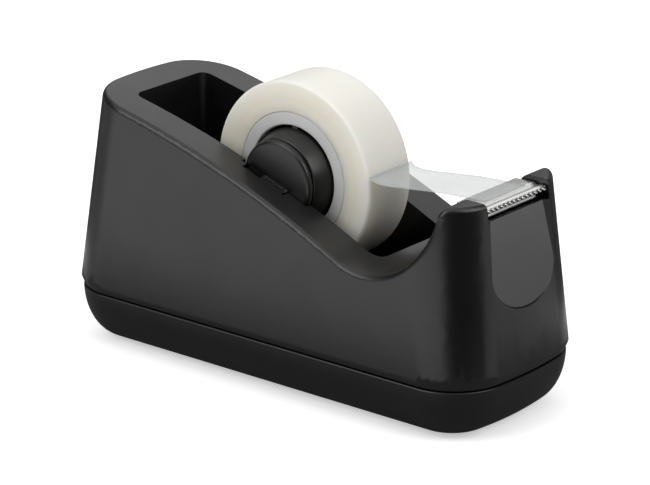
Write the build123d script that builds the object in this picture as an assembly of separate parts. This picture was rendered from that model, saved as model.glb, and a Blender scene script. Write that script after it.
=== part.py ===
from build123d import *
from math import cos, hypot, pi, radians, sin, sqrt, tan
import os

# Weighted desk tape dispenser: a hollow two-part body with a loose hub that holds a roll of tape
# in an open well, and a toothed steel blade between two ears at the front.
# Millimetres. X runs to the blade end, Y to the far side, Z up. The origin is under the middle
# of the body, on the surface that it stands on.

# Body, measured at its widest level
body_length = 152.9
body_width = 60.1
end_bow = 2.9
corner_radius = 17.4
front_draft = 6.1
rear_draft = 7.6
side_draft = 3.1
wall = 2.2
roof = 2.6

# Side view of the housing's upper edge
rear_height = 77.65
rear_height_setback = 6.45
rim_arc_radius = 365.0
valley_setback = 37.95
valley_height = 44.5
valley_radius = 22.3
ear_rise = 23.3
ear_round = 3.5
least_round = 0.1
rim_fillet = 1.8

# Base tray
foot_gap = 0.8
tray_height = 16.1
tray_setback = 0.6
tray_wall = 2.7
tray_floor = 2.6
bottom_round_in = 9.7
seam_gap = 0.5
lip_rise = 2.4
lip_clearance = 0.15
bevel_height = 2.2
bevel_inset = 0.9

# Well for the roll
well_rear_setback = 19.65
well_front_setback = 41.45
well_half_width = 15.5
well_floor_z = 26.0
well_rear_corner = 3.0
well_front_corner = 3.0
well_wall = 2.2

# Hub and its cradle
axis_x = -1.85
axis_z = 59.8
disc_radius = 12.1
disc_face_y = 17.0
disc_thickness = 2.0
disc_edge = 1.0
boss_radius = 5.25
boss_length = 2.3
boss_crown = 8.2
axle_radius = 5.0
pin_radius = 3.0
pin_length = 9.0
cradle_gap = 0.3
bearing_gap = 0.06
mouth_flare = 5.0
cradle_depth_below = 18.0
drum_radius = 13.2
drum_wall = 1.8
drum_end_gap = 0.4
drum_edge = 0.9
grip_count = 6
grip_length = 7.0
grip_width = 1.6

# Tape: 19 mm wide on a moulded core
tape_width = 19.0
core_bore_radius = 15.0
core_radius = 18.8
roll_radius = 27.9
core_grip_gap = 0.1
tape_thickness = 0.12
tail_gap = 0.3
peel_height = 5.6
peel_radius = 2.2

# Blade, its support and the bridge that carries them
ear_half_gap = 14.2
blade_half_width = 13.6
blade_thickness = 0.45
land_setback = 10.15
land_depth = 6.7
land_drop = 1.8
step_depth = 1.2
step_drop = 1.0
lip_depth = 4.7
tooth_rise = 0.5
tooth_count = 14
tooth_depth = 1.6
support_depth = 4.5
support_setback = 0.2
support_thickness = 0.8
flange_height = 3.5
shelf_drop = 3.7
groove_depth = 3.5
groove_lip = 1.2
tab_width = 5.0
tab_depth = 6.0
tab_spacing = 16.0
tab_clearance = 0.1

# Thumb recess on the front
recess_setback = 6.55
recess_tilt = 9.4
recess_top_half_width = 12.2
recess_low_half_width = 14.3
recess_turn = 10.5
recess_length = 26.4
recess_reach = 6.0
recess_flare = 58.0

# Fasteners and ballast
post_setback = 16.5
post_y = 13.0
post_radius = 4.0
post_split_z = 20.0
screw_radius = 1.45
screw_length = 16.0
pilot_gap = 0.05
screw_head_radius = 2.8
screw_head_height = 1.8
screw_head_depth = 3.4
screw_hole_gap = 0.15
drive_length = 3.4
drive_width = 0.8
ballast_setback = 24.5
ballast_width = 42.0
ballast_height = 15.0
ballast_corner = 6.0
ballast_chamfer = 1.5
ballast_screw_inset = 12.0
ballast_boss_radius = 4.0
ballast_boss_height = 6.0
pad_setback = 24.5
pad_width = 32.0
pad_corner = 10.0
pad_thickness = 1.6

cut_height = 120.0
overcut = 1.0

# Stations and levels that follow from those
half_length = body_length / 2
waist_z = tray_height + seam_gap + bevel_height
rear_height_x = rear_height_setback - half_length
valley_x = half_length - valley_setback
ear_height = valley_height + ear_rise
well_rear_x = well_rear_setback - half_length
well_front_x = half_length - well_front_setback
axis_point = (axis_x, 0, axis_z)
land_z = ear_height - land_drop
land_front_x = half_length - land_setback
land_rear_x = land_front_x - land_depth
step_x = land_front_x + step_depth
tooth_x = land_front_x + lip_depth
support_front_x = land_front_x - support_setback
support_rear_x = support_front_x - support_depth
flange_bottom_z = land_z - flange_height
shelf_z = land_z - shelf_drop
recess_top_x = half_length - recess_setback
recess_bottom_z = shelf_z - recess_length
post_x = half_length - post_setback
ballast_half_length = half_length - ballast_setback
ballast_screw_x = ballast_half_length - ballast_screw_inset
pad_half_length = half_length - pad_setback


def write(node, shape):
    """Save one node as parts/NODE.step."""
    export_step(shape, f"parts/{node}.step")


def half_front(z):
    return half_length - (z - waist_z) * tan(radians(front_draft))


def half_rear(z):
    return half_length - (z - waist_z) * tan(radians(rear_draft))


def half_width(z):
    return body_width / 2 - (z - waist_z) * tan(radians(side_draft))


def plan(z, inset=0.0, level=waist_z):
    """Outline that the body has at a level, drawn in by inset and laid at z; its ends are bowed."""
    front = half_front(level) - inset
    rear = half_rear(level) - inset
    side = half_width(level) - inset
    right = [(front - end_bow, -side), (front, 0), (front - end_bow, side)]
    left = [(end_bow - rear, side), (-rear, 0), (end_bow - rear, -side)]
    edges = [
        ThreePointArc(*right),
        Line(right[2], left[0]),
        ThreePointArc(*left),
        Line(left[2], right[0]),
    ]
    face = make_face(Curve() + edges)
    face = fillet(face.vertices(), max(corner_radius - inset, 1.0))
    return Pos(0, 0, z) * face


def side_view(drop=0.0):
    """Area under the housing's upper edge in the XZ plane, lowered by drop."""
    valley = (valley_x, valley_height + valley_radius)
    valley_r = valley_radius + drop
    rim_r = rim_arc_radius - drop
    reach = rim_arc_radius + valley_radius
    span_x = valley[0] - rear_height_x
    span_z = valley[1] - rear_height
    span = hypot(span_x, span_z)
    along = (rim_arc_radius**2 - reach**2 + span**2) / (2 * span)
    across = sqrt(rim_arc_radius**2 - along**2)
    centre_x = rear_height_x + (along * span_x + across * span_z) / span
    centre_z = rear_height + (along * span_z - across * span_x) / span

    def rim(x):
        return (x, centre_z + sqrt(rim_r**2 - (x - centre_x) ** 2))

    ear_r = max(ear_round - drop, least_round)
    ear_top = ear_height - drop
    ear_z = ear_top - ear_r
    ear = (valley[0] + sqrt((valley_r + ear_r) ** 2 - (ear_z - valley[1]) ** 2), ear_z)
    join = towards(valley, (centre_x, centre_z), valley_r / reach)
    ear_foot = towards(valley, ear, valley_r / (valley_r + ear_r))
    crown = (ear[0], ear_top)
    bottom = (valley[0], valley[1] - valley_r)
    start = rim(-body_length)
    edges = [
        ThreePointArc(start, rim((start[0] + join[0]) / 2), join),
        ThreePointArc(join, arc_middle(valley, valley_r, join, bottom), bottom),
        ThreePointArc(bottom, arc_middle(valley, valley_r, bottom, ear_foot), ear_foot),
        ThreePointArc(ear_foot, arc_middle(ear, ear_r, ear_foot, crown), crown),
        Polyline(crown, (body_length, ear_top), (body_length, 0), (start[0], 0), start),
    ]
    return Plane.XZ * make_face(Curve() + edges)


def towards(a, b, share):
    """Point that lies a share of the way from a to b."""
    return (a[0] + (b[0] - a[0]) * share, a[1] + (b[1] - a[1]) * share)


def arc_middle(centre, radius, a, b):
    """Point halfway along the shorter arc from a to b."""
    x = (a[0] + b[0]) / 2 - centre[0]
    z = (a[1] + b[1]) / 2 - centre[1]
    scale = radius / hypot(x, z)
    return (centre[0] + x * scale, centre[1] + z * scale)


def side_slab(drop=0.0):
    """The side view carried right across the body."""
    return extrude(side_view(drop), amount=body_width, both=True)


def along_y(radius, y0, y1):
    """Cylinder on the hub's axis between two stations."""
    return Pos(axis_x, (y0 + y1) / 2, axis_z) * Rot(90, 0, 0) * Cylinder(radius, abs(y1 - y0))


def block(x0, x1, y0, y1, z0, z1):
    """Box between two corners."""
    return Pos((x0 + x1) / 2, (y0 + y1) / 2, (z0 + z1) / 2) * Box(abs(x1 - x0), abs(y1 - y0), abs(z1 - z0))


def body_loft(inset, z0, z1):
    """Tapered body between two levels, drawn in by inset."""
    return loft([plan(z0, inset, z0), plan(z1, inset, z1)], ruled=True)


def posts(z0, z1, radius):
    """Four upright cylinders at the corners of the screw pattern."""
    return [
        Pos(x, y, (z0 + z1) / 2) * Cylinder(radius, z1 - z0)
        for x in (-post_x, post_x)
        for y in (-post_y, post_y)
    ]


def well(grow=0.0):
    """Open pocket for the roll; grow gives the outside of its walls."""
    depth = cut_height - well_floor_z + grow
    front = well_front_x + grow
    rear = well_rear_x - grow
    side = well_half_width + grow
    area = Pos((front + rear) / 2, 0, well_floor_z - grow) * Rectangle(front - rear, 2 * side)
    corners = area.vertices().sort_by(Axis.X)
    area = fillet(corners[:2], well_rear_corner + grow)
    corners = area.vertices().group_by(Axis.X)[-1]
    area = fillet(corners, well_front_corner + grow)
    return extrude(area, amount=depth)


def cradle_block(side):
    """Solid stock inside the rim that backs one hub slot."""
    outer = disc_face_y + boss_length + cradle_gap + wall
    y = sorted((side * well_half_width, side * outer))
    reach = disc_radius + cradle_gap + wall
    rear = reach + mouth_flare / 2
    return block(axis_x - rear, axis_x + reach, y[0], y[1], axis_z - cradle_depth_below, cut_height)


def cradle_cut(side):
    """Seat for one end of the hub: a recess for the disc and a slot for its boss, open upwards."""
    start = side * (well_half_width - overcut)
    disc_y = sorted((start, side * (disc_face_y + cradle_gap)))
    boss_y = sorted((start, side * (disc_face_y + boss_length + cradle_gap)))
    disc_r = disc_radius + cradle_gap
    boss_r = boss_radius + bearing_gap
    cut = along_y(disc_r, *disc_y) + block(axis_x - disc_r, axis_x + disc_r, *disc_y, axis_z, cut_height)
    cut += along_y(boss_r, *boss_y)
    mouth = Polyline(
        (axis_x + boss_r, axis_z),
        (axis_x + boss_r, cut_height),
        (axis_x - boss_r - mouth_flare, cut_height),
        (axis_x - boss_r - mouth_flare, axis_z + mouth_flare / 2),
        (axis_x - boss_r, axis_z),
        close=True,
    )
    mouth_face = Plane.XZ.offset(-boss_y[0]) * make_face(mouth)
    return cut + extrude(mouth_face, amount=-(boss_y[1] - boss_y[0]))


def recess_cut():
    """Thumb recess: a flat floor that leans back, with flared sides and a round bottom."""
    rise = shelf_z - recess_bottom_z
    tilt = radians(recess_tilt)
    turn = recess_turn - rise / cos(tilt)
    lean = (recess_low_half_width - recess_top_half_width) / -turn
    floor = Plane(
        origin=(recess_top_x, 0, shelf_z),
        x_dir=(0, 1, 0),
        z_dir=(cos(tilt), 0, sin(tilt)),
    )

    def outline(grow):
        top = recess_turn
        low = recess_low_half_width + grow
        high = recess_top_half_width - lean * top + grow
        bottom = EllipticalCenterArc((0, turn), low, recess_turn + grow, 180, arc_size=180)
        sides = Polyline((low, turn), (high, top), (-high, top), (-low, turn))
        return make_face(Curve() + [bottom, sides])

    spread = recess_reach * tan(radians(recess_flare))
    outer = floor.offset(recess_reach)
    return loft([floor * outline(0), outer * outline(spread)], ruled=True)


def tab_blocks(grow=0.0):
    """Two tabs of the blade support, or with grow the slots that hold them."""
    tabs = []
    for y in (-tab_spacing / 2, tab_spacing / 2):
        tabs.append(
            block(
                support_rear_x - grow,
                support_rear_x + support_thickness + grow,
                y - tab_width / 2 - grow,
                y + tab_width / 2 + grow,
                land_z - blade_thickness - tab_depth - grow,
                land_z - blade_thickness - support_thickness / 2,
            )
        )
    return tabs


def round_rim(solid):
    """Round the upper outer edge all the way along, over the ears too."""
    upper = [
        face
        for face in solid.faces()
        if face.geom_type in (GeomType.CYLINDER, GeomType.PLANE) and face.center().Z > valley_height
    ]
    edges = [edge for face in upper for edge in face.edges() if edge.geom_type != GeomType.LINE]
    return fillet(ShapeList(edges), rim_fillet)


def bridge_cut():
    """Space between the ears, above the bridge that carries the blade."""
    seat_z = land_z - blade_thickness - support_thickness
    cut = block(support_rear_x - body_width, body_length, -ear_half_gap, ear_half_gap, seat_z, cut_height)
    step = support_front_x - support_thickness - tab_clearance
    cut += block(step, body_length, -ear_half_gap, ear_half_gap, shelf_z, cut_height)
    lip_x = recess_top_x - groove_lip
    cut += block(step, lip_x, -ear_half_gap, ear_half_gap, shelf_z - groove_depth, cut_height)
    for slot in tab_blocks(tab_clearance):
        cut += slot
    return cut


def housing():
    """Upper shell with the well, the hub cradles, the ears and the screw posts."""
    foot_z = tray_height + seam_gap
    bevel = loft([plan(foot_z, bevel_inset), plan(waist_z)], ruled=True)
    outer = round_rim((bevel + body_loft(0, waist_z, cut_height)) & side_slab())
    cavity = loft([plan(foot_z, wall), plan(waist_z, wall)], ruled=True)
    cavity += body_loft(wall, waist_z, cut_height)
    cavity &= side_slab(roof)
    cavity -= well(well_wall)
    cavity -= recess_backing()
    for side in (-1, 1):
        cavity -= cradle_block(side)
    for post in posts(post_split_z, cut_height, post_radius):
        cavity -= post
    shell = outer - cavity - well() - bridge_cut() - recess_cut()
    for side in (-1, 1):
        shell -= cradle_cut(side)
    pilot_top = post_split_z + screw_length
    for pilot in posts(foot_z, pilot_top, screw_radius + pilot_gap):
        shell -= pilot
    return shell


def recess_backing():
    """Stock behind the thumb recess and under the bridge."""
    depth = wall + (half_front(shelf_z) - recess_top_x)
    rear = support_rear_x - wall
    side = ear_half_gap + wall
    upper = block(rear, body_length, -side, side, land_z - tab_depth - 2 * wall, cut_height)
    tilt = radians(front_draft)
    plate = Pos(half_front(shelf_z) - depth, 0, shelf_z) * Rot(0, -front_draft, 0)
    plate *= block(0, body_length, -side, side, -(shelf_z - recess_bottom_z) / cos(tilt) - wall, wall)
    return upper + plate


def tray_shell(inset, bottom_z, round_in, round_up, top_z):
    """Bowl with an elliptical turn under it, between two levels."""
    sections = []
    steps = 6
    for k in range(steps + 1):
        turn = pi / 2 * (steps - k) / steps
        draw = inset + round_in * (1 - cos(turn))
        sections.append(plan(bottom_z + round_up * (1 - sin(turn)), draw))
    bowl = loft(sections)
    rim = bottom_z + round_up
    if top_z > rim:
        bowl += extrude(plan(rim, inset), amount=top_z - rim)
    return bowl


def base_tray():
    """Lower shell: rounded outside, with a lip that locates the housing."""
    rise = tray_height - foot_gap
    outer = tray_shell(tray_setback, foot_gap, bottom_round_in, rise, tray_height)
    lip_inset = wall + lip_clearance
    lip = extrude(plan(tray_height, lip_inset), amount=seam_gap + lip_rise)
    inner_inset = tray_setback + tray_wall
    inner_floor = foot_gap + tray_floor
    inner_rise = rise - tray_floor
    hollow = tray_shell(inner_inset, inner_floor, bottom_round_in, inner_rise, waist_z + lip_rise)
    tray = outer + lip - hollow
    for post in posts(foot_gap + tray_floor / 2, post_split_z, post_radius):
        tray += post
    for x in (-ballast_screw_x, ballast_screw_x):
        tray += Pos(x, 0, foot_gap + tray_floor / 2) * Cylinder(
            ballast_boss_radius, ballast_boss_height, align=(Align.CENTER, Align.CENTER, Align.MIN)
        )
    tray &= tray_shell(tray_setback, foot_gap, bottom_round_in, rise, cut_height)
    for hole in posts(0, post_split_z + overcut, screw_radius + screw_hole_gap):
        tray -= hole
    for sink in posts(0, screw_seat_z(), screw_head_radius + screw_hole_gap):
        tray -= sink
    for x in (-ballast_screw_x, ballast_screw_x):
        tray -= ballast_screw_hole(x)
    return tray - pad_block(tab_clearance)


def screw_seat_z():
    """Level of the shoulder that the housing screws pull against."""
    return foot_gap + screw_head_depth + screw_head_height


def ballast_bottom_z():
    return foot_gap + tray_floor / 2 + ballast_boss_height


def ballast_screw_hole(x):
    top = ballast_bottom_z()
    depth = ballast_boss_height - overcut
    return Pos(x, 0, top - depth / 2) * Cylinder(screw_radius + pilot_gap, depth)


def pad_block(grow=0.0):
    """Non-slip pad under the tray, or with grow the recess that takes it."""
    length = 2 * (pad_half_length + grow)
    area = RectangleRounded(length, pad_width + 2 * grow, pad_corner + grow)
    return extrude(area, amount=pad_thickness)


def ballast_weight():
    """Cast block that keeps the dispenser on the desk."""
    area = RectangleRounded(2 * ballast_half_length, ballast_width, ballast_corner)
    low = ballast_bottom_z()
    weight = extrude(Pos(0, 0, low) * area, amount=ballast_height)
    weight = chamfer(weight.edges().group_by(Axis.Z)[0], ballast_chamfer)
    for x in (-ballast_screw_x, ballast_screw_x):
        weight -= Pos(x, 0, low + ballast_height / 2) * Cylinder(screw_radius + screw_hole_gap, ballast_height)
        sink = screw_head_height + screw_hole_gap
        weight -= Pos(x, 0, low + ballast_height - sink / 2) * Cylinder(screw_head_radius + screw_hole_gap, sink)
    return weight


def screw(shank, head_up):
    """Pan-head screw with its head's bearing face at z = 0 and its shank along the drive."""
    way = -1 if head_up else 1
    body = Pos(0, 0, way * shank / 2) * Cylinder(screw_radius, shank)
    head = Pos(0, 0, -way * screw_head_height / 2) * Cylinder(screw_head_radius, screw_head_height)
    slot_z = -way * screw_head_height
    slot = Pos(0, 0, slot_z) * Box(drive_length, drive_width, screw_head_height)
    return body + head - slot - Rot(0, 0, 90) * slot


def housing_screws():
    """Four screws from below, through the tray's posts into the housing's."""
    length = post_split_z - screw_seat_z() + screw_length - overcut
    one = screw(length, head_up=False)
    return Compound(
        children=[Pos(x, y, screw_seat_z()) * one for x in (-post_x, post_x) for y in (-post_y, post_y)]
    )


def ballast_screws():
    """Two screws from above, through the ballast into the tray."""
    seat = ballast_bottom_z() + ballast_height - screw_head_height - screw_hole_gap
    reach = seat - ballast_bottom_z() + ballast_boss_height - 2 * overcut
    one = screw(reach, head_up=True)
    return Compound(children=[Pos(x, 0, seat) * one for x in (-ballast_screw_x, ballast_screw_x)])


def hub_end(side):
    """Disc and boss of one hub end, with its half of the axle."""
    face = side * disc_face_y
    inner = side * (disc_face_y - disc_thickness)
    disc = along_y(disc_radius, inner, face)
    rim = disc.edges().filter_by(GeomType.CIRCLE).sort_by(Axis.Y)[-1 if side > 0 else 0]
    disc = fillet(rim, disc_edge)
    crown_y = face + side * (boss_length - boss_crown)
    crown = Pos(axis_x, crown_y, axis_z) * Rot(90, 0, 0) * Sphere(boss_crown)
    boss = along_y(boss_radius, face, face + side * boss_length) & crown
    axle = along_y(axle_radius, 0, inner)
    return disc + boss + axle


def axle_near():
    """Hub end on the near side, bored for the far end's pin."""
    return hub_end(-1) - along_y(pin_radius, 0, -pin_length - cradle_gap)


def axle_far():
    """Hub end on the far side, with the pin that joins the two."""
    return hub_end(1) + along_y(pin_radius, 0, -pin_length)


def hub_drum():
    """Sleeve that turns on the axle and grips the core from inside."""
    half = disc_face_y - disc_thickness - drum_end_gap
    drum = along_y(drum_radius, -half, half)
    drum = fillet(drum.edges().filter_by(GeomType.CIRCLE), drum_edge)
    drum -= along_y(drum_radius - drum_wall, -half + drum_wall, half - drum_wall)
    drum -= along_y(axle_radius + bearing_gap, -half - overcut, half + overcut)
    reach = core_bore_radius - core_grip_gap
    for k in range(grip_count):
        fin = block(0, grip_width, -grip_length / 2, grip_length / 2, drum_radius - drum_wall / 2, reach)
        turn = 360 / grip_count * k
        drum += Pos(*axis_point) * Rot(0, turn, 0) * Pos(-grip_width / 2, 0, 0) * fin
    return drum


def ring(outer, inner):
    """Ring as wide as the tape, on the hub's axis."""
    half = tape_width / 2
    return along_y(outer, -half, half) - along_y(inner, -half - overcut, half + overcut)


def tape_tail():
    """Free end of the tape, from beside the roll to the blade's land."""
    lie_z = land_z + tape_thickness / 2
    start = (axis_x + roll_radius + tail_gap + tape_thickness / 2, axis_z + peel_height)
    turn = JernArc(start, (0, -1), peel_radius, 90)
    low = turn @ 1
    path = [turn, Line(low, (land_rear_x, lie_z)), Line((land_rear_x, lie_z), (land_front_x, lie_z))]
    strip = trace(Curve() + path, line_width=tape_thickness)
    return extrude(Plane.XZ * strip, amount=tape_width / 2, both=True)


def blade_profile():
    """Blade in the XZ plane: a flat land, a step down and a toothed lip."""
    top = [
        (land_rear_x, land_z),
        (land_front_x, land_z),
        (step_x, land_z - step_drop),
        (tooth_x, land_z - step_drop + tooth_rise),
    ]
    under = [(x, z - blade_thickness) for x, z in reversed(top)]
    return Plane.XZ * make_face(Polyline(*top, *under, close=True))


def cutter_blade():
    """Sheet steel blade with a row of teeth along its front edge."""
    blade = extrude(blade_profile(), amount=blade_half_width, both=True)
    pitch = 2 * blade_half_width / tooth_count
    gap = Plane.XY * make_face(
        Polyline((tooth_x, -pitch / 2), (tooth_x - tooth_depth, 0), (tooth_x, pitch / 2), close=True)
    )
    gap = extrude(Pos(0, 0, land_z - 2 * step_drop) * gap, amount=3 * step_drop)
    cuts = [Pos(0, -blade_half_width + pitch * (k + 0.5), 0) * gap for k in range(tooth_count)]
    return blade - cuts


def blade_support():
    """Bent steel angle under the blade, with a front flange and two tabs."""
    top = land_z - blade_thickness
    base = top - support_thickness
    support = block(support_rear_x, support_front_x, -blade_half_width, blade_half_width, base, top)
    inner = support_front_x - support_thickness
    support += block(inner, support_front_x, -blade_half_width, blade_half_width, flange_bottom_z, top)
    for tab in tab_blocks():
        support += tab
    return support


def main():
    os.makedirs("parts", exist_ok=True)
    write("housing", housing())
    write("base_tray", base_tray())
    write("nonslip_pad", pad_block())
    write("ballast_weight", ballast_weight())
    write("ballast_screws", ballast_screws())
    write("housing_screws", housing_screws())
    write("axle_near", axle_near())
    write("axle_far", axle_far())
    write("hub_drum", hub_drum())
    write("tape_core", ring(core_radius, core_bore_radius))
    write("tape_roll", ring(roll_radius, core_radius))
    write("tape_tail", tape_tail())
    write("cutter_blade", cutter_blade())
    write("blade_support", blade_support())


main()
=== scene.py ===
import bpy
import bmesh
import math
import numpy as np
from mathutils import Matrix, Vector


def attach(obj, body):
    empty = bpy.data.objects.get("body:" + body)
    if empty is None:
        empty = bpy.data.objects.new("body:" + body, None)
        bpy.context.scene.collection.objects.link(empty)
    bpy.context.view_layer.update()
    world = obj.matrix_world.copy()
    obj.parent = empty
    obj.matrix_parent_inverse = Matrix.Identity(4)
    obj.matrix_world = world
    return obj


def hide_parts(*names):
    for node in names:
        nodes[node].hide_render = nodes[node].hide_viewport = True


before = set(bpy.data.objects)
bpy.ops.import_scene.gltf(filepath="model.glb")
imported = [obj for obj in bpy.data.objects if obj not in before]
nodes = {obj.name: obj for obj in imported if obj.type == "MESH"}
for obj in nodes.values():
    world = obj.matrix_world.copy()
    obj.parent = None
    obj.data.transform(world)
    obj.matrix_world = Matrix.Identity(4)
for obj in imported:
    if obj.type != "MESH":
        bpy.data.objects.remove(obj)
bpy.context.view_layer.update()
mm = 0.001
hubAxis = (-1.85, 59.8)  # x and z of the hub's axis, which runs along y
noiseLow, noiseHigh = 0.3, 0.7  # a noise texture's values lie mostly between these
print("stage: frame loaded,", len(nodes), "nodes")


def hexColour(text):
    # sRGB hex to linear, as the shader sockets want it
    parts = [int(text[i:i + 2], 16) / 255 for i in (1, 3, 5)]
    return tuple(c / 12.92 if c <= 0.04045 else ((c + 0.055) / 1.055) ** 2.4 for c in parts) + (1.0,)


def addNode(tree, kind, settings=(), **links):
    # settings: attribute or socket name to value; links: socket name, underscores for spaces, to an output
    node = tree.nodes.new(kind)
    for key, value in dict(settings).items():
        if isinstance(key, int) or key in node.inputs:
            node.inputs[key].default_value = value
        else:
            setattr(node, key, value)
    for key, source in links.items():
        tree.links.new(source, node.inputs[key.replace("_", " ")])
    return node


def newMaterial(name):
    material = bpy.data.materials.new(name)
    material.use_nodes = True
    tree = material.node_tree
    tree.nodes.clear()
    out = tree.nodes.new("ShaderNodeOutputMaterial")
    place = addNode(tree, "ShaderNodeTexCoord")
    return material, tree, out, place.outputs["Object"]


def twoTone(tree, factor, first, second):
    # the surface wanders between two close colours
    tone = addNode(tree, "ShaderNodeMix", {"data_type": "RGBA", 6: hexColour(first), 7: hexColour(second)},
                   Factor=factor)
    return tone.outputs[2]


def mouldedPlastic(name, look):
    # injection-moulded plastic: a fine even spark-eroded grain that breaks up a satin gloss
    material, tree, out, place = newMaterial(name)
    grain = addNode(tree, "ShaderNodeTexNoise",
                    {"Scale": 1 / (look["grainSize"] * mm), "Detail": 3.0, "Roughness": 0.6}, Vector=place)
    cloud = addNode(tree, "ShaderNodeTexNoise", {"Scale": 1 / (look["cloudSize"] * mm), "Detail": 2.0},
                    Vector=place)
    gloss = addNode(tree, "ShaderNodeMapRange",
                    {"From Min": noiseLow, "From Max": noiseHigh,
                     "To Min": look["roughness"] - look["roughnessSpread"],
                     "To Max": look["roughness"] + look["roughnessSpread"]}, Value=cloud.outputs["Fac"])
    bump = addNode(tree, "ShaderNodeBump", {"Strength": look["bumpStrength"], "Distance": look["bumpHeight"] * mm},
                   Height=grain.outputs["Fac"])
    shader = addNode(tree, "ShaderNodeBsdfPrincipled",
                     {"IOR": look["ior"], "Specular IOR Level": look["sheen"], "Subsurface Weight": look["glow"],
                      "Subsurface Radius": (1.0, 1.0, 1.0), "Subsurface Scale": look["glowDepth"] * mm},
                     Base_Color=twoTone(tree, cloud.outputs["Fac"], look["colour"], look["colourLow"]),
                     Roughness=gloss.outputs["Result"], Normal=bump.outputs["Normal"])
    tree.links.new(shader.outputs[0], out.inputs["Surface"])
    return material


def sheetSteel(name, look):
    # stainless strip, ground along its length: fine streaks along y that spread the gloss across them
    material, tree, out, place = newMaterial(name)
    stretch = addNode(tree, "ShaderNodeMapping",
                      {"Scale": (1 / (look["streakPitch"] * mm), 1 / (look["streakLength"] * mm),
                                 1 / (look["streakPitch"] * mm))}, Vector=place)
    streak = addNode(tree, "ShaderNodeTexNoise", {"Scale": 1.0, "Detail": 3.0}, Vector=stretch.outputs[0])
    gloss = addNode(tree, "ShaderNodeMapRange",
                    {"From Min": noiseLow, "From Max": noiseHigh,
                     "To Min": look["roughness"] - look["roughnessSpread"],
                     "To Max": look["roughness"] + look["roughnessSpread"]}, Value=streak.outputs["Fac"])
    bump = addNode(tree, "ShaderNodeBump", {"Strength": look["bumpStrength"], "Distance": look["bumpHeight"] * mm},
                   Height=streak.outputs["Fac"])
    shader = addNode(tree, "ShaderNodeBsdfPrincipled", {"Metallic": 1.0},
                     Base_Color=twoTone(tree, streak.outputs["Fac"], look["colour"], look["colourLow"]),
                     Roughness=gloss.outputs["Result"], Normal=bump.outputs["Normal"])
    tree.links.new(shader.outputs[0], out.inputs["Surface"])
    return material


def roughBody(name, look):
    # cast iron or foam rubber: a coarse pebbled skin with a broken, dull sheen
    material, tree, out, place = newMaterial(name)
    pebble = addNode(tree, "ShaderNodeTexNoise",
                     {"Scale": 1 / (look["grainSize"] * mm), "Detail": 6.0, "Roughness": 0.65}, Vector=place)
    bump = addNode(tree, "ShaderNodeBump", {"Strength": look["bumpStrength"], "Distance": look["bumpHeight"] * mm},
                   Height=pebble.outputs["Fac"])
    shader = addNode(tree, "ShaderNodeBsdfPrincipled",
                     {"Metallic": look["metallic"], "Roughness": look["roughness"]},
                     Base_Color=twoTone(tree, pebble.outputs["Fac"], look["colour"], look["colourLow"]),
                     Normal=bump.outputs["Normal"])
    tree.links.new(shader.outputs[0], out.inputs["Surface"])
    return material


def woundFilm(name, look):
    # acetate film wound into a roll: light goes in and spreads, and the ends of the turns show as faint rings,
    # warmer near the core
    material, tree, out, place = newMaterial(name)
    centred = addNode(tree, "ShaderNodeVectorMath",
                      {"operation": "SUBTRACT", 1: (hubAxis[0] * mm, 0, hubAxis[1] * mm)})
    tree.links.new(place, centred.inputs[0])
    split = addNode(tree, "ShaderNodeSeparateXYZ", Vector=centred.outputs[0])
    flat = addNode(tree, "ShaderNodeCombineXYZ", X=split.outputs["X"], Z=split.outputs["Z"])
    radius = addNode(tree, "ShaderNodeVectorMath", {"operation": "LENGTH"})
    tree.links.new(flat.outputs[0], radius.inputs[0])
    turns = addNode(tree, "ShaderNodeTexNoise",
                    {"noise_dimensions": "1D", "Scale": 1 / (look["turnPitch"] * mm), "Detail": 4.0},
                    W=radius.outputs["Value"])
    bands = addNode(tree, "ShaderNodeTexNoise",
                    {"noise_dimensions": "1D", "Scale": 1 / (look["bandPitch"] * mm), "Detail": 1.0},
                    W=radius.outputs["Value"])
    depth = addNode(tree, "ShaderNodeMapRange",
                    {"From Min": look["coreRadius"] * mm, "From Max": look["rimRadius"] * mm, "To Min": 1.0,
                     "To Max": 0.0}, Value=radius.outputs["Value"])
    warm = addNode(tree, "ShaderNodeMath", {"operation": "MULTIPLY"})
    tree.links.new(bands.outputs["Fac"], warm.inputs[0])
    tree.links.new(depth.outputs["Result"], warm.inputs[1])
    bump = addNode(tree, "ShaderNodeBump", {"Strength": look["bumpStrength"], "Distance": look["bumpHeight"] * mm},
                   Height=turns.outputs["Fac"])
    shader = addNode(tree, "ShaderNodeBsdfPrincipled",
                     {"Roughness": look["roughness"], "IOR": look["ior"], "Subsurface Weight": look["subsurface"],
                      "Subsurface Radius": look["spread"], "Subsurface Scale": look["depth"] * mm},
                     Base_Color=twoTone(tree, warm.outputs[0], look["colour"], look["colourLow"]),
                     Normal=bump.outputs["Normal"])
    tree.links.new(shader.outputs[0], out.inputs["Surface"])
    return material


def frostedFilm(name, look):
    # a single layer of matt film: mostly clear, with a milky scatter and slow ripples along its length
    material, tree, out, place = newMaterial(name)
    stretch = addNode(tree, "ShaderNodeMapping",
                      {"Scale": (1 / (look["ripple"] * mm), 1 / (look["rippleWidth"] * mm), 1.0)}, Vector=place)
    ripple = addNode(tree, "ShaderNodeTexNoise", {"Scale": 1.0, "Detail": 2.0}, Vector=stretch.outputs[0])
    bump = addNode(tree, "ShaderNodeBump", {"Strength": look["bumpStrength"], "Distance": look["bumpHeight"] * mm},
                   Height=ripple.outputs["Fac"])
    shader = addNode(tree, "ShaderNodeBsdfPrincipled",
                     {"Roughness": look["roughness"], "IOR": look["ior"], "Alpha": look["cover"]},
                     Base_Color=twoTone(tree, ripple.outputs["Fac"], look["colour"], look["colourLow"]),
                     Normal=bump.outputs["Normal"])
    tree.links.new(shader.outputs[0], out.inputs["Surface"])
    return material


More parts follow.
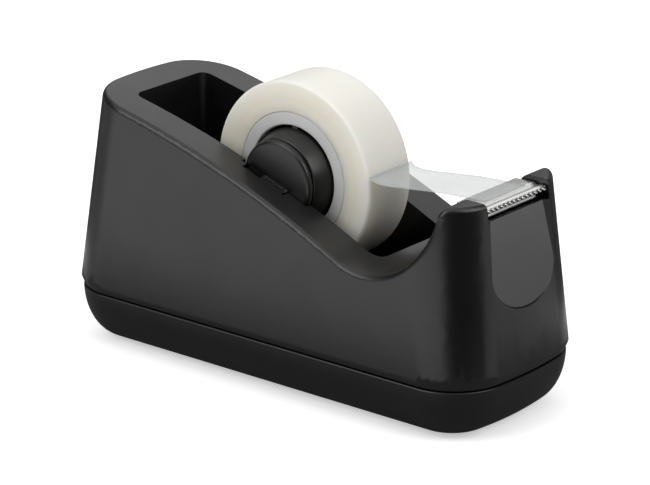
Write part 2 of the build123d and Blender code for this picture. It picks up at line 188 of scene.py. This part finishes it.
# lengths in these looks are millimetres; grain, streaks and turns are drawn coarser than real so that they show
housingLook = {"colour": "#0e0e0f", "colourLow": "#0c0c0d", "roughness": 0.34, "roughnessSpread": 0.02,
               "grainSize": 0.25, "cloudSize": 14, "bumpStrength": 0.2, "bumpHeight": 0.02, "ior": 1.53,
               "sheen": 0.5, "glow": 0.0, "glowDepth": 4.0}
# the recess floor is the housing's plastic made glossier, with its colour painted lighter to stand in for the
# brighter light it catches
paintedLighterRecessLook = dict(housingLook, colour="#242425", colourLow="#222223", roughness=0.24, sheen=0.72)
baseLook = dict(housingLook, colour="#0b0b0c", colourLow="#09090a", roughness=0.36)
hubLook = dict(housingLook, colour="#090909", colourLow="#070707", roughness=0.36)
# the core's light grey is partly its own colour and partly painted light, raised to stand in for light that comes
# through the roll
coreLook = dict(housingLook, colour="#d6d7d5", colourLow="#cecfcd", roughness=0.35, bumpStrength=0.05, glow=0.35)
bladeLook = {"colour": "#e4e4e2", "colourLow": "#d6d6d4", "roughness": 0.3, "roughnessSpread": 0.06,
             "streakPitch": 0.12, "streakLength": 9, "bumpStrength": 0.3, "bumpHeight": 0.01}
supportLook = dict(bladeLook, roughness=0.36)
screwLook = {"colour": "#b9bbbd", "colourLow": "#9fa1a4", "roughness": 0.36, "metallic": 1.0,
             "grainSize": 0.4, "bumpStrength": 0.1, "bumpHeight": 0.02}
ironLook = {"colour": "#4a4949", "colourLow": "#343333", "roughness": 0.62, "metallic": 1.0,
            "grainSize": 0.9, "bumpStrength": 0.6, "bumpHeight": 0.15}
rubberLook = {"colour": "#1b1b1c", "colourLow": "#131314", "roughness": 0.85, "metallic": 0.0,
              "grainSize": 0.5, "bumpStrength": 0.5, "bumpHeight": 0.1}
rollLook = {"colour": "#f2f0e9", "colourLow": "#eddfba", "roughness": 0.42, "ior": 1.48,
            "turnPitch": 0.35, "bandPitch": 3.0, "coreRadius": 17.0, "rimRadius": 27.9,
            "bumpStrength": 0.1, "bumpHeight": 0.05,
            "subsurface": 0.8, "spread": (1.0, 0.85, 0.6), "depth": 5.0}
filmLook = {"colour": "#d6d9d9", "colourLow": "#cbcece", "roughness": 0.38, "ior": 1.48, "cover": 0.42,
            "ripple": 14, "rippleWidth": 40, "bumpStrength": 0.15, "bumpHeight": 0.05}

housingAbs = mouldedPlastic("mouldedBlackAbs", housingLook)
paintedLighterRecessAbs = mouldedPlastic("recessAbsPaintedLighter", paintedLighterRecessLook)
baseAbs = mouldedPlastic("mouldedBaseAbs", baseLook)
hubAbs = mouldedPlastic("mouldedHubAbs", hubLook)
corePlastic = mouldedPlastic("mouldedGreyStyrene", coreLook)
bladeSteel = sheetSteel("groundStainlessStrip", bladeLook)
supportSteel = sheetSteel("groundStainlessAngle", supportLook)
screwSteel = roughBody("zincPlatedSteel", screwLook)
castIron = roughBody("castIron", ironLook)
padRubber = roughBody("foamRubber", rubberLook)
rollFilm = woundFilm("woundAcetateFilm", rollLook)
tailFilm = frostedFilm("mattAcetateFilm", filmLook)
print("stage: materials")


def finishPiece(piece, material, body, node):
    piece.data.materials.clear()
    piece.data.materials.append(material)
    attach(piece, body)
    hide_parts(node)


def smoothNormals(piece, sharpAngle):
    piece.data.set_sharp_from_angle(angle=math.radians(sharpAngle))
    weighted = piece.modifiers.new("evenNormals", "WEIGHTED_NORMAL")
    weighted.keep_sharp = True
    weighted.mode = "FACE_AREA_WITH_ANGLE"


weld = {"distance": 0.002, "flatAngle": 0.4, "smoothAngle": 35}


def mergedCopy(node, name, edge):
    # the frame's own solid as one welded mesh, its flat areas joined up and its edges given a small round
    mesh = nodes[node].data.copy()
    mesh.name = name
    work = bmesh.new()
    work.from_mesh(mesh)
    bmesh.ops.remove_doubles(work, verts=work.verts, dist=weld["distance"] * mm)
    bmesh.ops.dissolve_limit(work, angle_limit=math.radians(weld["flatAngle"]), verts=work.verts, edges=work.edges)
    for face in work.faces:
        face.smooth = True
    work.to_mesh(mesh)
    work.free()
    piece = bpy.data.objects.new(name, mesh)
    bpy.context.scene.collection.objects.link(piece)
    bevel = piece.modifiers.new("edgeRound", "BEVEL")
    bevel.width = edge["width"] * mm
    bevel.segments = edge["segments"]
    bevel.limit_method = "ANGLE"
    bevel.angle_limit = math.radians(edge["angle"])
    bevel.use_clamp_overlap = True
    bevel.harden_normals = False
    smoothNormals(piece, weld["smoothAngle"])
    return piece


def gridMesh(name, points, wrap):
    # a grid of points, rows by columns, joined into quads; wrap closes the rows, the columns or both
    rows, columns = points.shape[:2]
    i = np.arange(rows if wrap[0] else rows - 1)
    j = np.arange(columns if wrap[1] else columns - 1)
    a, b = np.meshgrid(i, j, indexing="ij")
    a2, b2 = (a + 1) % rows, (b + 1) % columns
    quads = np.stack([a * columns + b, a2 * columns + b, a2 * columns + b2, a * columns + b2], -1).reshape(-1, 4)
    mesh = bpy.data.meshes.new(name)
    mesh.from_pydata((points.reshape(-1, 3) * mm).tolist(), [], quads.tolist())
    work = bmesh.new()
    work.from_mesh(mesh)
    bmesh.ops.remove_doubles(work, verts=work.verts, dist=0.001 * mm)
    bmesh.ops.recalc_face_normals(work, faces=work.faces)
    for face in work.faces:
        face.smooth = True
    work.to_mesh(mesh)
    work.free()
    piece = bpy.data.objects.new(name, mesh)
    bpy.context.scene.collection.objects.link(piece)
    return piece


def cornerArc(centre, radius, start, end, count=8):
    # points on an arc in the radius-y plane: centre plus radius times (cos, sin), in degrees from the radius axis
    turn = np.radians(np.linspace(start, end, count))
    return np.stack([centre[0] + radius * np.cos(turn), centre[1] + radius * np.sin(turn)], -1)


def turned(profile, steps, swell=None):
    # each profile point (radius, y) is carried round the hub's axis: x is the axis plus radius times cosine,
    # z the axis plus radius times sine, and swell may add to the radius at a point and angle
    turn = np.linspace(0, 2 * np.pi, steps, endpoint=False)
    radius = np.repeat(profile[:, :1], steps, 1)
    along = np.repeat(profile[:, 1:], steps, 1)
    if swell is not None:
        radius = radius + swell(radius, along, turn[None, :])
    return np.stack([hubAxis[0] + radius * np.cos(turn), along, hubAxis[1] + radius * np.sin(turn)], -1)


def alongPath(points, count):
    # a Catmull-Rom line through the points, sampled evenly by its own parameter
    p = np.array(points, float)
    p = np.concatenate([[2 * p[0] - p[1]], p, [2 * p[-1] - p[-2]]])
    s = np.linspace(0, len(p) - 3 - 1e-9, count)
    k = s.astype(int)
    f = (s - k)[:, None]
    a, b, c, d = p[k], p[k + 1], p[k + 2], p[k + 3]
    return 0.5 * (2 * b + (c - a) * f + (2 * a - 5 * b + 4 * c - d) * f**2 + (3 * b - a - 3 * c + d) * f**3)


def carried(line, across):
    # a line in the x-z plane, repeated at each y in across
    return np.stack([np.repeat(line[:, :1], len(across), 1), np.repeat(across[None, :], len(line), 0),
                     np.repeat(line[:, 1:], len(across), 1)], -1)


def thickened(name, points, modifierName, thickness, offset):
    # an open sheet of points, given the thickness of its film or steel; offset -1 is below, 0 is both sides
    piece = gridMesh(name, points, (False, False))
    solid = piece.modifiers.new(modifierName, "SOLIDIFY")
    solid.thickness = thickness * mm
    solid.offset = offset
    return piece


housing = mergedCopy("housing", "housingShell", {"width": 0.45, "segments": 3, "angle": 30})
finishPiece(housing, housingAbs, "dispenser", "housing")
# the recess floor's faces take the second slot, the copy of the housing plastic that is painted lighter
housing.data.materials.append(paintedLighterRecessAbs)
panel = {"tilt": 9.4, "nearX": 60.0, "tolerance": 0.6}
panelWay = Vector((math.cos(math.radians(panel["tilt"])), 0, math.sin(math.radians(panel["tilt"]))))
for face in housing.data.polygons:
    if face.center.x > panel["nearX"] * mm and face.normal.angle(panelWay) < math.radians(panel["tolerance"]):
        face.material_index = 1
tray = mergedCopy("base_tray", "baseTray", {"width": 0.3, "segments": 2, "angle": 30})
finishPiece(tray, baseAbs, "dispenser", "base_tray")
support = mergedCopy("blade_support", "bladeAngle", {"width": 0.12, "segments": 2, "angle": 30})
finishPiece(support, supportSteel, "dispenser", "blade_support")

for node, material in {"nonslip_pad": padRubber, "ballast_weight": castIron, "ballast_screws": screwSteel,
                       "housing_screws": screwSteel}.items():
    nodes[node].data.materials.clear()
    nodes[node].data.materials.append(material)
print("stage: carried over")

hub = {"discRadius": 12.1, "face": 17.0, "inner": 15.0, "edge": 1.1, "backEdge": 0.3,
       "faceReach": 10.6, "facePoints": 36, "nose": 2.3, "noseReach": 4.6, "noseFlank": 0.35, "cutFlank": 0.5,
       "axleRadius": 5.0, "pinRadius": 3.0, "pinLength": 9.0, "pinGap": 0.3, "steps": 180, "sharpAngle": 40}
rimLine = {"z": 59.6, "slope": -0.37}  # the rim's height at the hub's axis, and its fall towards the blade


def softStep(share):
    # from 0 to 1 with level ends
    share = np.clip(share, 0, 1)
    return share * share * (3 - 2 * share)


def hubEnd(name, side):
    # from the middle out over the disc's face and edge, in along the axle and its pin or bore
    radii = np.linspace(0, hub["faceReach"], hub["facePoints"])
    disc = np.stack([radii, np.full(len(radii), hub["face"])], -1)
    edge = cornerArc((hub["discRadius"] - hub["edge"], hub["face"] - hub["edge"]), hub["edge"], 90, 0)
    back = cornerArc((hub["discRadius"] - hub["backEdge"], hub["inner"] + hub["backEdge"]),
                     hub["backEdge"], 0, -90, 4)
    depth = -(hub["pinLength"] + (hub["pinGap"] if side < 0 else 0))
    rest = np.array([(hub["axleRadius"], hub["inner"]), (hub["axleRadius"], 0.0), (hub["pinRadius"], 0.0),
                     (hub["pinRadius"], depth * side), (0.0, depth * side)])
    points = turned(np.concatenate([disc, edge, back, rest]), hub["steps"])
    # the journal stands out from the face below the line of the rim, and its upper side is cut down to that line
    below = rimLine["z"] + (points[..., 0] - hubAxis[0]) * rimLine["slope"] - points[..., 2]
    outward = np.hypot(points[..., 0] - hubAxis[0], points[..., 2] - hubAxis[1])
    onFace = points[..., 1] > hub["face"] - 0.01
    flank = softStep((hub["noseReach"] - outward) / hub["noseFlank"])
    points[..., 1] += np.where(onFace, hub["nose"] * softStep(below / hub["cutFlank"]) * flank, 0.0)
    points[..., 1] *= side
    piece = gridMesh(name, points, (False, True))
    smoothNormals(piece, hub["sharpAngle"])
    return piece


for name, side, node in (("hubEndNear", -1, "axle_near"), ("hubEndFar", 1, "axle_far")):
    finishPiece(hubEnd(name, side), hubAbs, "axle", node)

drum = {"radius": 14.1, "endRadius": 12.4, "halfLength": 14.6, "shoulder": 5.2, "round": 0.5, "wall": 1.8,
        "bore": 5.06, "ribs": 6, "ribReach": 0.8, "ribWidth": 1.6, "ribHalf": 8.9, "ribTurn": 28.0, "steps": 360,
        "sharpAngle": 40}


def drumRib(radius, along, turn):
    # grip ribs stand out from the outer wall at even angles, over the middle of its length
    pitch = 2 * np.pi / drum["ribs"]
    off = np.abs((turn - math.radians(drum["ribTurn"]) + pitch / 2) % pitch - pitch / 2) * drum["radius"]
    outer = radius > drum["radius"] - 0.01
    return np.where(outer & (off < drum["ribWidth"] / 2) & (np.abs(along) < drum["ribHalf"]), drum["ribReach"], 0.0)


# each end tapers from under the disc up to the full radius, where the core begins
sleeve = np.concatenate([cornerArc((drum["endRadius"] - drum["round"], drum["halfLength"] - drum["round"]),
                                   drum["round"], 90, 15, 5),
                         [(drum["radius"] - 0.05, drum["halfLength"] - drum["shoulder"]),
                          (drum["radius"], drum["halfLength"] - drum["shoulder"] - 0.3)]])
# two rows close together end each rib sharply
ribRows = np.array([(drum["radius"], y) for y in (drum["ribHalf"] + 0.01, drum["ribHalf"] - 0.01, 4.0, 0.0)])
upper = np.concatenate([[(drum["bore"], drum["halfLength"])], sleeve, ribRows])
lower = upper[::-1][1:] * [1, -1]
hollow = np.array([(drum["bore"], -drum["halfLength"] + drum["wall"]),
                   (drum["radius"] - drum["wall"], -drum["halfLength"] + drum["wall"]),
                   (drum["radius"] - drum["wall"], drum["halfLength"] - drum["wall"]),
                   (drum["bore"], drum["halfLength"] - drum["wall"])])
drumPoints = turned(np.concatenate([upper, lower, hollow]), drum["steps"], drumRib)
drumPiece = gridMesh("hubDrum", drumPoints, (True, True))
smoothNormals(drumPiece, drum["sharpAngle"])
finishPiece(drumPiece, hubAbs, "roll", "hub_drum")


def ringPiece(name, ring):
    # a rectangle with rounded corners in the radius-y plane, turned round the hub's axis
    inner, outer, half = ring["inner"], ring["outer"], ring["half"]
    inEdge, outEdge = ring["innerEdge"], ring["outerEdge"]
    treadY = np.linspace(half, -half, 7)[1:-1] * (1 - outEdge / half)
    profile = np.concatenate([
        cornerArc((outer - outEdge, half - outEdge), outEdge, 90, 0),
        np.stack([np.full(len(treadY), outer), treadY], -1),
        cornerArc((outer - outEdge, outEdge - half), outEdge, 0, -90),
        cornerArc((inner + inEdge, inEdge - half), inEdge, -90, -180),
        cornerArc((inner + inEdge, half - inEdge), inEdge, 180, 90)])
    piece = gridMesh(name, turned(profile, ring["steps"]), (True, True))
    smoothNormals(piece, ring["sharpAngle"])
    return piece


core = {"inner": 15.0, "outer": 18.78, "half": 9.5, "innerEdge": 0.5, "outerEdge": 0.35, "steps": 240,
        "sharpAngle": 40}
finishPiece(ringPiece("tapeCore", core), corePlastic, "roll", "tape_core")

roll = {"inner": 18.82, "outer": 27.9, "half": 9.5, "innerEdge": 0.25, "outerEdge": 0.9, "steps": 360,
        "sharpAngle": 40}
finishPiece(ringPiece("tapeRoll", roll), rollFilm, "roll", "tape_roll")

# the free end curls down off the roll and rises to the land; path points are x and z
tail = {"path": ((26.25, 65.4), (26.95, 64.45), (29.2, 63.85), (33.5, 63.95), (40.9, 64.75), (50.5, 65.75),
                 (59.6, 66.24), (62.8, 66.42), (66.0, 66.46)),
        "half": 9.5, "thickness": 0.09, "rows": 60, "columns": 9}
strip = carried(alongPath(tail["path"], tail["rows"]), np.linspace(-tail["half"], tail["half"], tail["columns"]))
tailPiece = thickened("tapeTail", strip, "filmThickness", tail["thickness"], 0.0)
finishPiece(tailPiece, tailFilm, "dispenser", "tape_tail")

# the blade's sheet has a flat land, a small step, a raised lip and teeth that slope down; points are x and z
blade = {"profile": ((59.6, 66.1), (61.5, 66.2), (63.5, 66.32), (65.5, 66.36), (66.1, 66.28), (66.6, 66.02),
                     (67.0, 65.86), (67.5, 65.9), (68.2, 66.05), (68.9, 66.08), (69.6, 65.92)),
         "tip": (70.5, 65.22), "half": 13.6, "teeth": 14, "tipWidth": 0.42, "notchDrop": 0.03,
         "thickness": 0.35, "rows": 40}
pitch = 2 * blade["half"] / blade["teeth"]
tipSide = blade["tipWidth"] / 2
# each tooth has a short tip between two slanted sides, and the notches lie between the teeth
notch = -blade["half"] + pitch * np.arange(blade["teeth"] + 1)
toothParts = np.array([0.5 - tipSide, 0.5 + tipSide, 1.0])  # both sides of the tip, then the next notch
across = np.concatenate([notch[:1], (notch[:-1, None] + pitch * toothParts).ravel()])
isTip = np.arange(len(across)) % len(toothParts) != 0
sheet = carried(alongPath(blade["profile"], blade["rows"]), across)
# the last row of points zigzags between the teeth's tips and the notches
front = sheet[-1:].copy()
front[0, isTip, 0] = blade["tip"][0]
front[0, isTip, 2] = blade["tip"][1]
front[0, ~isTip, 2] -= blade["notchDrop"]
bladePiece = thickened("toothedBlade", np.concatenate([sheet, front]), "sheetThickness", blade["thickness"], -1.0)
finishPiece(bladePiece, bladeSteel, "dispenser", "cutter_blade")

# a narrow bright strip runs before the angle, under the teeth, and turns back to it at both ends;
# path points are x and y, and the strip stands between its low and high z
guard = {"path": ((65.9, -11.3), (67.2, -11.3), (68.0, -11.0), (68.3, -10.2), (68.3, -4.0), (68.3, 4.0),
                  (68.3, 10.2), (68.0, 11.0), (67.2, 11.3), (65.9, 11.3)),
         "low": 62.9, "high": 63.95, "thickness": 0.4, "rows": 120, "columns": 4}
guardLevels = np.linspace(guard["low"], guard["high"], guard["columns"])
wall = carried(alongPath(guard["path"], guard["rows"]), guardLevels)
guardPiece = thickened("bladeGuard", wall[..., [0, 2, 1]], "stripThickness", guard["thickness"], 0.0)
guardPiece.data.materials.append(supportSteel)
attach(guardPiece, "dispenser")
print("stage: turned and drawn pieces")

studio = {"floorSize": 60.0, "floorColour": "#f4f4f4", "worldColour": "#ffffff", "worldStrength": 0.08,
          "floorGlow": 0.48}

floorMesh = bpy.data.meshes.new("floor")
half = studio["floorSize"] / 2
floorMesh.from_pydata([(-half, -half, 0), (half, -half, 0), (half, half, 0), (-half, half, 0)], [],
                      [(0, 1, 2, 3)])
floor = bpy.data.objects.new("floor", floorMesh)
bpy.context.scene.collection.objects.link(floor)
floorPaint, floorTree, floorOut, _ = newMaterial("matteFloorPaint")
floorShader = addNode(floorTree, "ShaderNodeBsdfDiffuse", {"Color": hexColour(studio["floorColour"])})
# the floor is a lit white sweep: seen straight, in gloss or through film it gets a little light of its own
rays = addNode(floorTree, "ShaderNodeLightPath")
seen = addNode(floorTree, "ShaderNodeMath", {"operation": "ADD"})
floorTree.links.new(rays.outputs["Is Camera Ray"], seen.inputs[0])
floorTree.links.new(rays.outputs["Is Glossy Ray"], seen.inputs[1])
seenAll = addNode(floorTree, "ShaderNodeMath", {"operation": "ADD"})
floorTree.links.new(seen.outputs[0], seenAll.inputs[0])
floorTree.links.new(rays.outputs["Is Transmission Ray"], seenAll.inputs[1])
lift = addNode(floorTree, "ShaderNodeMath", {"operation": "MULTIPLY", 1: studio["floorGlow"]})
floorTree.links.new(seenAll.outputs[0], lift.inputs[0])
floorLight = addNode(floorTree, "ShaderNodeEmission", Strength=lift.outputs[0])
floorMix = addNode(floorTree, "ShaderNodeAddShader")
floorTree.links.new(floorShader.outputs[0], floorMix.inputs[0])
floorTree.links.new(floorLight.outputs[0], floorMix.inputs[1])
floorTree.links.new(floorMix.outputs[0], floorOut.inputs["Surface"])
floorMesh.materials.append(floorPaint)

world = bpy.data.worlds.new("studio")
bpy.context.scene.world = world
world.use_nodes = True
world.node_tree.nodes.clear()
worldOut = world.node_tree.nodes.new("ShaderNodeOutputWorld")
sky = addNode(world.node_tree, "ShaderNodeBackground",
              {"Color": hexColour(studio["worldColour"]), "Strength": studio["worldStrength"]})
world.node_tree.links.new(sky.outputs[0], worldOut.inputs["Surface"])

softboxes = {
    "overhead": {"at": (-0.1, -0.15, 1.3), "aim": (0, 0, 0.04), "size": (1.8, 1.6), "watts": 10},
    "right": {"at": (1.1, 0.1, 0.9), "aim": (0, 0, 0.05), "size": (0.9, 0.9), "watts": 8},
    "frontLeft": {"at": (-0.5, -1.1, 0.9), "aim": (0, 0, 0.05), "size": (1.0, 0.9), "watts": 9},
    "back": {"at": (-0.7, 1.3, 1.05), "aim": (0, 0, 0.05), "size": (2.2, 0.8), "watts": 6.5},
}
for name, box in softboxes.items():
    lamp = bpy.data.lights.new(name, "AREA")
    lamp.shape = "RECTANGLE"
    lamp.size, lamp.size_y = box["size"]
    lamp.energy = box["watts"]
    holder = bpy.data.objects.new(name, lamp)
    bpy.context.scene.collection.objects.link(holder)
    holder.location = box["at"]
    holder.rotation_mode = "QUATERNION"
    holder.rotation_quaternion = (Vector(box["aim"]) - Vector(box["at"])).to_track_quat("-Z", "Y")

# degrees for the angles, millimetres for distance, target and sensor
lens = {"azimuth": 39.07, "elevation": 19.31, "distance": 948.58, "target": (2.363, 0.0, 38.124),
        "focalPixels": 3288.54, "imageWidth": 650, "sensor": 36.0, "clip": (0.01, 50)}
camera = bpy.data.objects.new("camera", bpy.data.cameras.new("camera"))
bpy.context.scene.collection.objects.link(camera)
azimuth, elevation = math.radians(lens["azimuth"]), math.radians(lens["elevation"])
back = Vector((math.sin(azimuth) * math.cos(elevation), -math.cos(azimuth) * math.cos(elevation),
               math.sin(elevation)))
camera.location = (Vector(lens["target"]) + back * lens["distance"]) * mm
camera.rotation_mode = "QUATERNION"
camera.rotation_quaternion = (-back).to_track_quat("-Z", "Y")
camera.data.sensor_width = lens["sensor"]
camera.data.lens = lens["sensor"] * lens["focalPixels"] / lens["imageWidth"]
camera.data.clip_start, camera.data.clip_end = lens["clip"]
bpy.context.scene.camera = camera
bpy.context.scene.view_settings.view_transform = "Standard"

# cards stand round the object where its gloss would otherwise pick up the white floor; only gloss sees them.
# lengths are metres
cards = {
    "corner": {"line": ((0.100, -0.095), (0.135, -0.080), (0.152, -0.045), (0.155, 0.0)), "height": 0.085,
               "colour": "#030303"},
    "leftFront": {"line": ((-0.150, -0.075), (-0.165, 0.0)), "height": 0.07, "colour": "#b0b0b0"},
    "leftBack": {"line": ((-0.165, 0.0), (-0.120, 0.110)), "height": 0.07, "colour": "#595959"},
    "farSide": {"line": ((-0.07, 0.112), (0.125, 0.112)), "height": 0.06, "colour": "#707070"},
}
# mats lie flat on the floor and, like the cards, only gloss sees them: they paint darker reflections of the floor,
# the under one standing in for the shade beneath the tray, the front one dimming what the front faces reflect
glossMats = {
    "under": {"corners": ((-0.140, -0.088), (0.140, 0.088)), "colour": "#858585"},
    "front": {"corners": ((0.141, 0.02), (0.36, 0.33)), "colour": "#d0d0d0"},
}
matLevel = 0.0002


def glossCard(name, points, faces, colour):
    mesh = bpy.data.meshes.new(name)
    mesh.from_pydata(points, [], faces)
    piece = bpy.data.objects.new(name, mesh)
    bpy.context.scene.collection.objects.link(piece)
    paint, tree, out, _ = newMaterial(name)
    shader = addNode(tree, "ShaderNodeBsdfDiffuse", {"Color": hexColour(colour)})
    tree.links.new(shader.outputs[0], out.inputs["Surface"])
    mesh.materials.append(paint)
    for rayKind in ("camera", "shadow", "diffuse", "transmission"):
        setattr(piece, "visible_" + rayKind, False)


for name, card in cards.items():
    foot = [(x, y, 0.0) for x, y in card["line"]]
    head = [(x, y, card["height"]) for x, y in card["line"]]
    count = len(foot)
    glossCard("card" + name, foot + head, [(k, k + 1, k + 1 + count, k + count) for k in range(count - 1)],
              card["colour"])
for name, mat in glossMats.items():
    (x0, y0), (x1, y1) = mat["corners"]
    glossCard("mat" + name, [(x, y, matLevel) for x, y in ((x0, y0), (x1, y0), (x1, y1), (x0, y1))],
              [(0, 1, 2, 3)], mat["colour"])
print("stage: studio")
